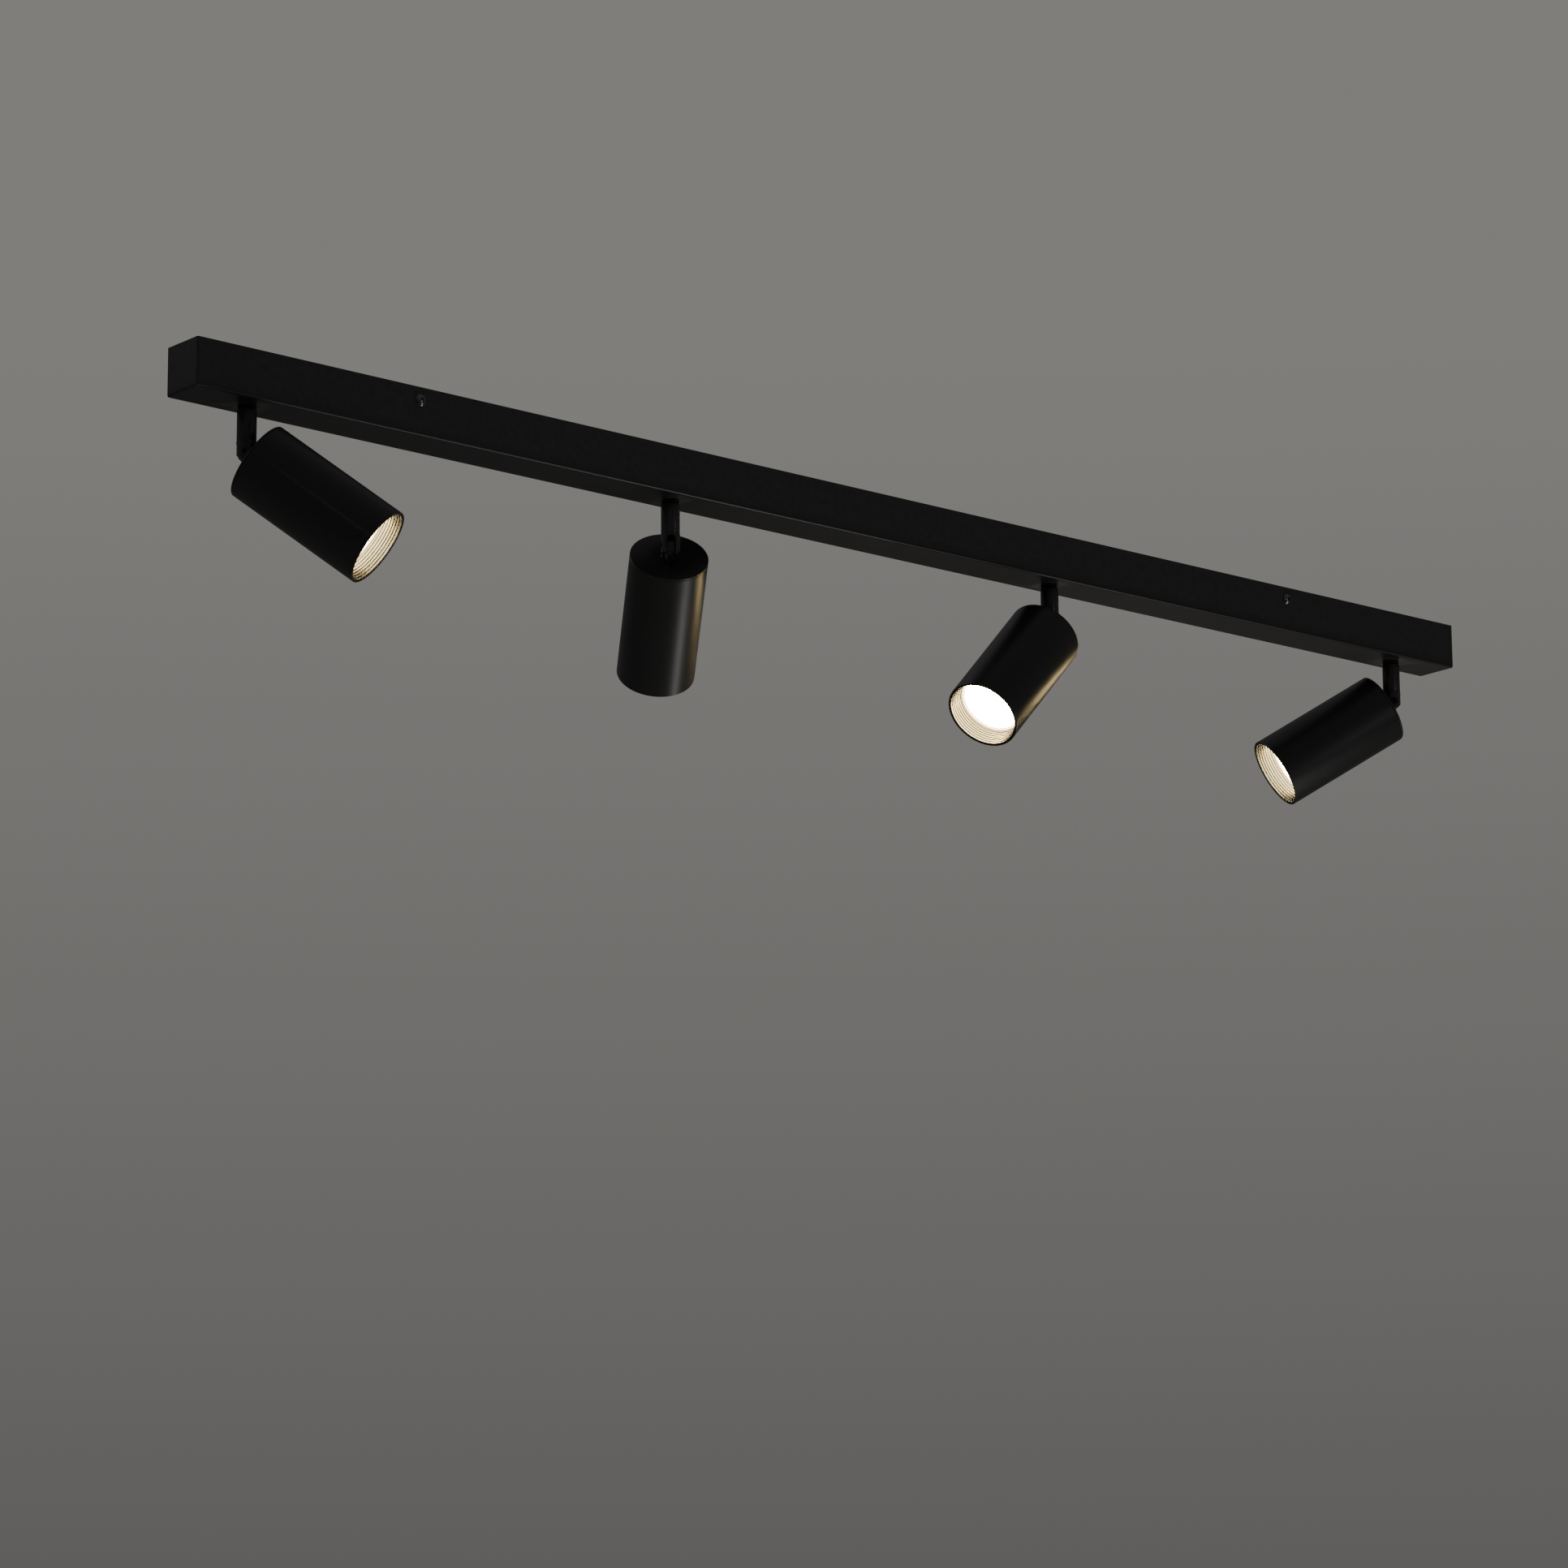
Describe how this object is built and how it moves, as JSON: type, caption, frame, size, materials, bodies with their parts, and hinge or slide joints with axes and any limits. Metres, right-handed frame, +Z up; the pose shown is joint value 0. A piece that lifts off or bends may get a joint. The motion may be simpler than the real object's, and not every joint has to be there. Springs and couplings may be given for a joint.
{
  "type": "ceiling track light bar",
  "caption": "Black ceiling light: a straight square-section bar with cylindrical spot heads that swivel on short stems and tilt on fork pivots, for GU10 lamps.",
  "frame": {"origin": "middle of the ceiling bracket's top face, which lies flat on the ceiling", "axes": "+X along the bar, +Z up into the ceiling, -Y towards the front face with the near pair of side screws"},
  "size_m": [1.2, 0.1819, 0.1678],
  "materials": {
    "bar_coat": "satin black powder coat with a fine grain",
    "head_coat": "satin black powder coat with a fine grain",
    "stem_coat": "satin black powder coat",
    "bracket_zinc": "bright zinc-plated strip",
    "fastener_zinc": "zinc-plated steel",
    "screw_steel": "blackened steel, semi-gloss",
    "terminal_plastic": "matt white moulded plastic",
    "lead_sleeve": "light grey silicone-glass sleeve",
    "collar_nylon": "matt black nylon",
    "holder_ceramic": "unglazed pale ceramic",
    "lamp_plastic": "white moulded lamp body",
    "lens_glow": "frosted lens, lit warm white",
    "baffle_plastic": "gloss black, stepped rings"
  },
  "bodies": {
    "root": {"channel": "bar_coat", "ceiling_bracket": "bracket_zinc", "side_screw_front_left": "screw_steel", "side_screw_front_right": "screw_steel", "side_screw_back_left": "screw_steel", "side_screw_back_right": "screw_steel", "terminal_block": "terminal_plastic", "earth_stud": "fastener_zinc", "lead_1": "lead_sleeve", "swivel_collar_1": "collar_nylon", "lead_2": "lead_sleeve", "swivel_collar_2": "collar_nylon", "lead_3": "lead_sleeve", "swivel_collar_3": "collar_nylon", "lead_4": "lead_sleeve", "swivel_collar_4": "collar_nylon"},
    "stem_1_body": {"lock_nut_1": "fastener_zinc", "stem_1": "stem_coat", "fork_1": "stem_coat", "pivot_screw_1": "screw_steel"},
    "head_1_body": {"lug_1": "stem_coat", "back_cap_1": "head_coat", "housing_1": "head_coat", "lampholder_1": "holder_ceramic", "lamp_1": "lamp_plastic", "lens_1": "lens_glow", "baffle_1": "baffle_plastic"},
    "stem_2_body": {"lock_nut_2": "fastener_zinc", "stem_2": "stem_coat", "fork_2": "stem_coat", "pivot_screw_2": "screw_steel"},
    "head_2_body": {"lug_2": "stem_coat", "back_cap_2": "head_coat", "housing_2": "head_coat", "lampholder_2": "holder_ceramic", "lamp_2": "lamp_plastic", "lens_2": "lens_glow", "baffle_2": "baffle_plastic"},
    "stem_3_body": {"lock_nut_3": "fastener_zinc", "stem_3": "stem_coat", "fork_3": "stem_coat", "pivot_screw_3": "screw_steel"},
    "head_3_body": {"lug_3": "stem_coat", "back_cap_3": "head_coat", "housing_3": "head_coat", "lampholder_3": "holder_ceramic", "lamp_3": "lamp_plastic", "lens_3": "lens_glow", "baffle_3": "baffle_plastic"},
    "stem_4_body": {"lock_nut_4": "fastener_zinc", "stem_4": "stem_coat", "fork_4": "stem_coat", "pivot_screw_4": "screw_steel"},
    "head_4_body": {"lug_4": "stem_coat", "back_cap_4": "head_coat", "housing_4": "head_coat", "lampholder_4": "holder_ceramic", "lamp_4": "lamp_plastic", "lens_4": "lens_glow", "baffle_4": "baffle_plastic"}
  },
  "joints": [
    {"name": "swivel_1", "type": "hinge", "parent": "root", "child": "stem_1_body", "pos_m": [-0.5472, 0, -0.0677], "axis": [0, 0, 1], "range_deg": [-175, 175]},
    {"name": "tilt_1", "type": "hinge", "parent": "stem_1_body", "child": "head_1_body", "pos_m": [-0.5472, 0, -0.0677], "axis": [-0.7083, -0.7059, 0], "range_deg": [-142.7, 37.3]},
    {"name": "swivel_2", "type": "hinge", "parent": "root", "child": "stem_2_body", "pos_m": [-0.1824, 0, -0.0677], "axis": [0, 0, 1], "range_deg": [-175, 175]},
    {"name": "tilt_2", "type": "hinge", "parent": "stem_2_body", "child": "head_2_body", "pos_m": [-0.1824, 0, -0.0677], "axis": [0.8508, -0.5255, 0], "range_deg": [-140.8, 39.2]},
    {"name": "swivel_3", "type": "hinge", "parent": "root", "child": "stem_3_body", "pos_m": [0.1824, 0, -0.0677], "axis": [0, 0, 1], "range_deg": [-175, 175]},
    {"name": "tilt_3", "type": "hinge", "parent": "stem_3_body", "child": "head_3_body", "pos_m": [0.1824, 0, -0.0677], "axis": [-0.1201, 0.9928, 0], "range_deg": [-134.3, 45.7]},
    {"name": "swivel_4", "type": "hinge", "parent": "root", "child": "stem_4_body", "pos_m": [0.5472, 0, -0.0677], "axis": [0, 0, 1], "range_deg": [-175, 175]},
    {"name": "tilt_4", "type": "hinge", "parent": "stem_4_body", "child": "head_4_body", "pos_m": [0.5472, 0, -0.0677], "axis": [0.5344, 0.8453, 0], "range_deg": [-148.1, 31.9]}
  ]
}
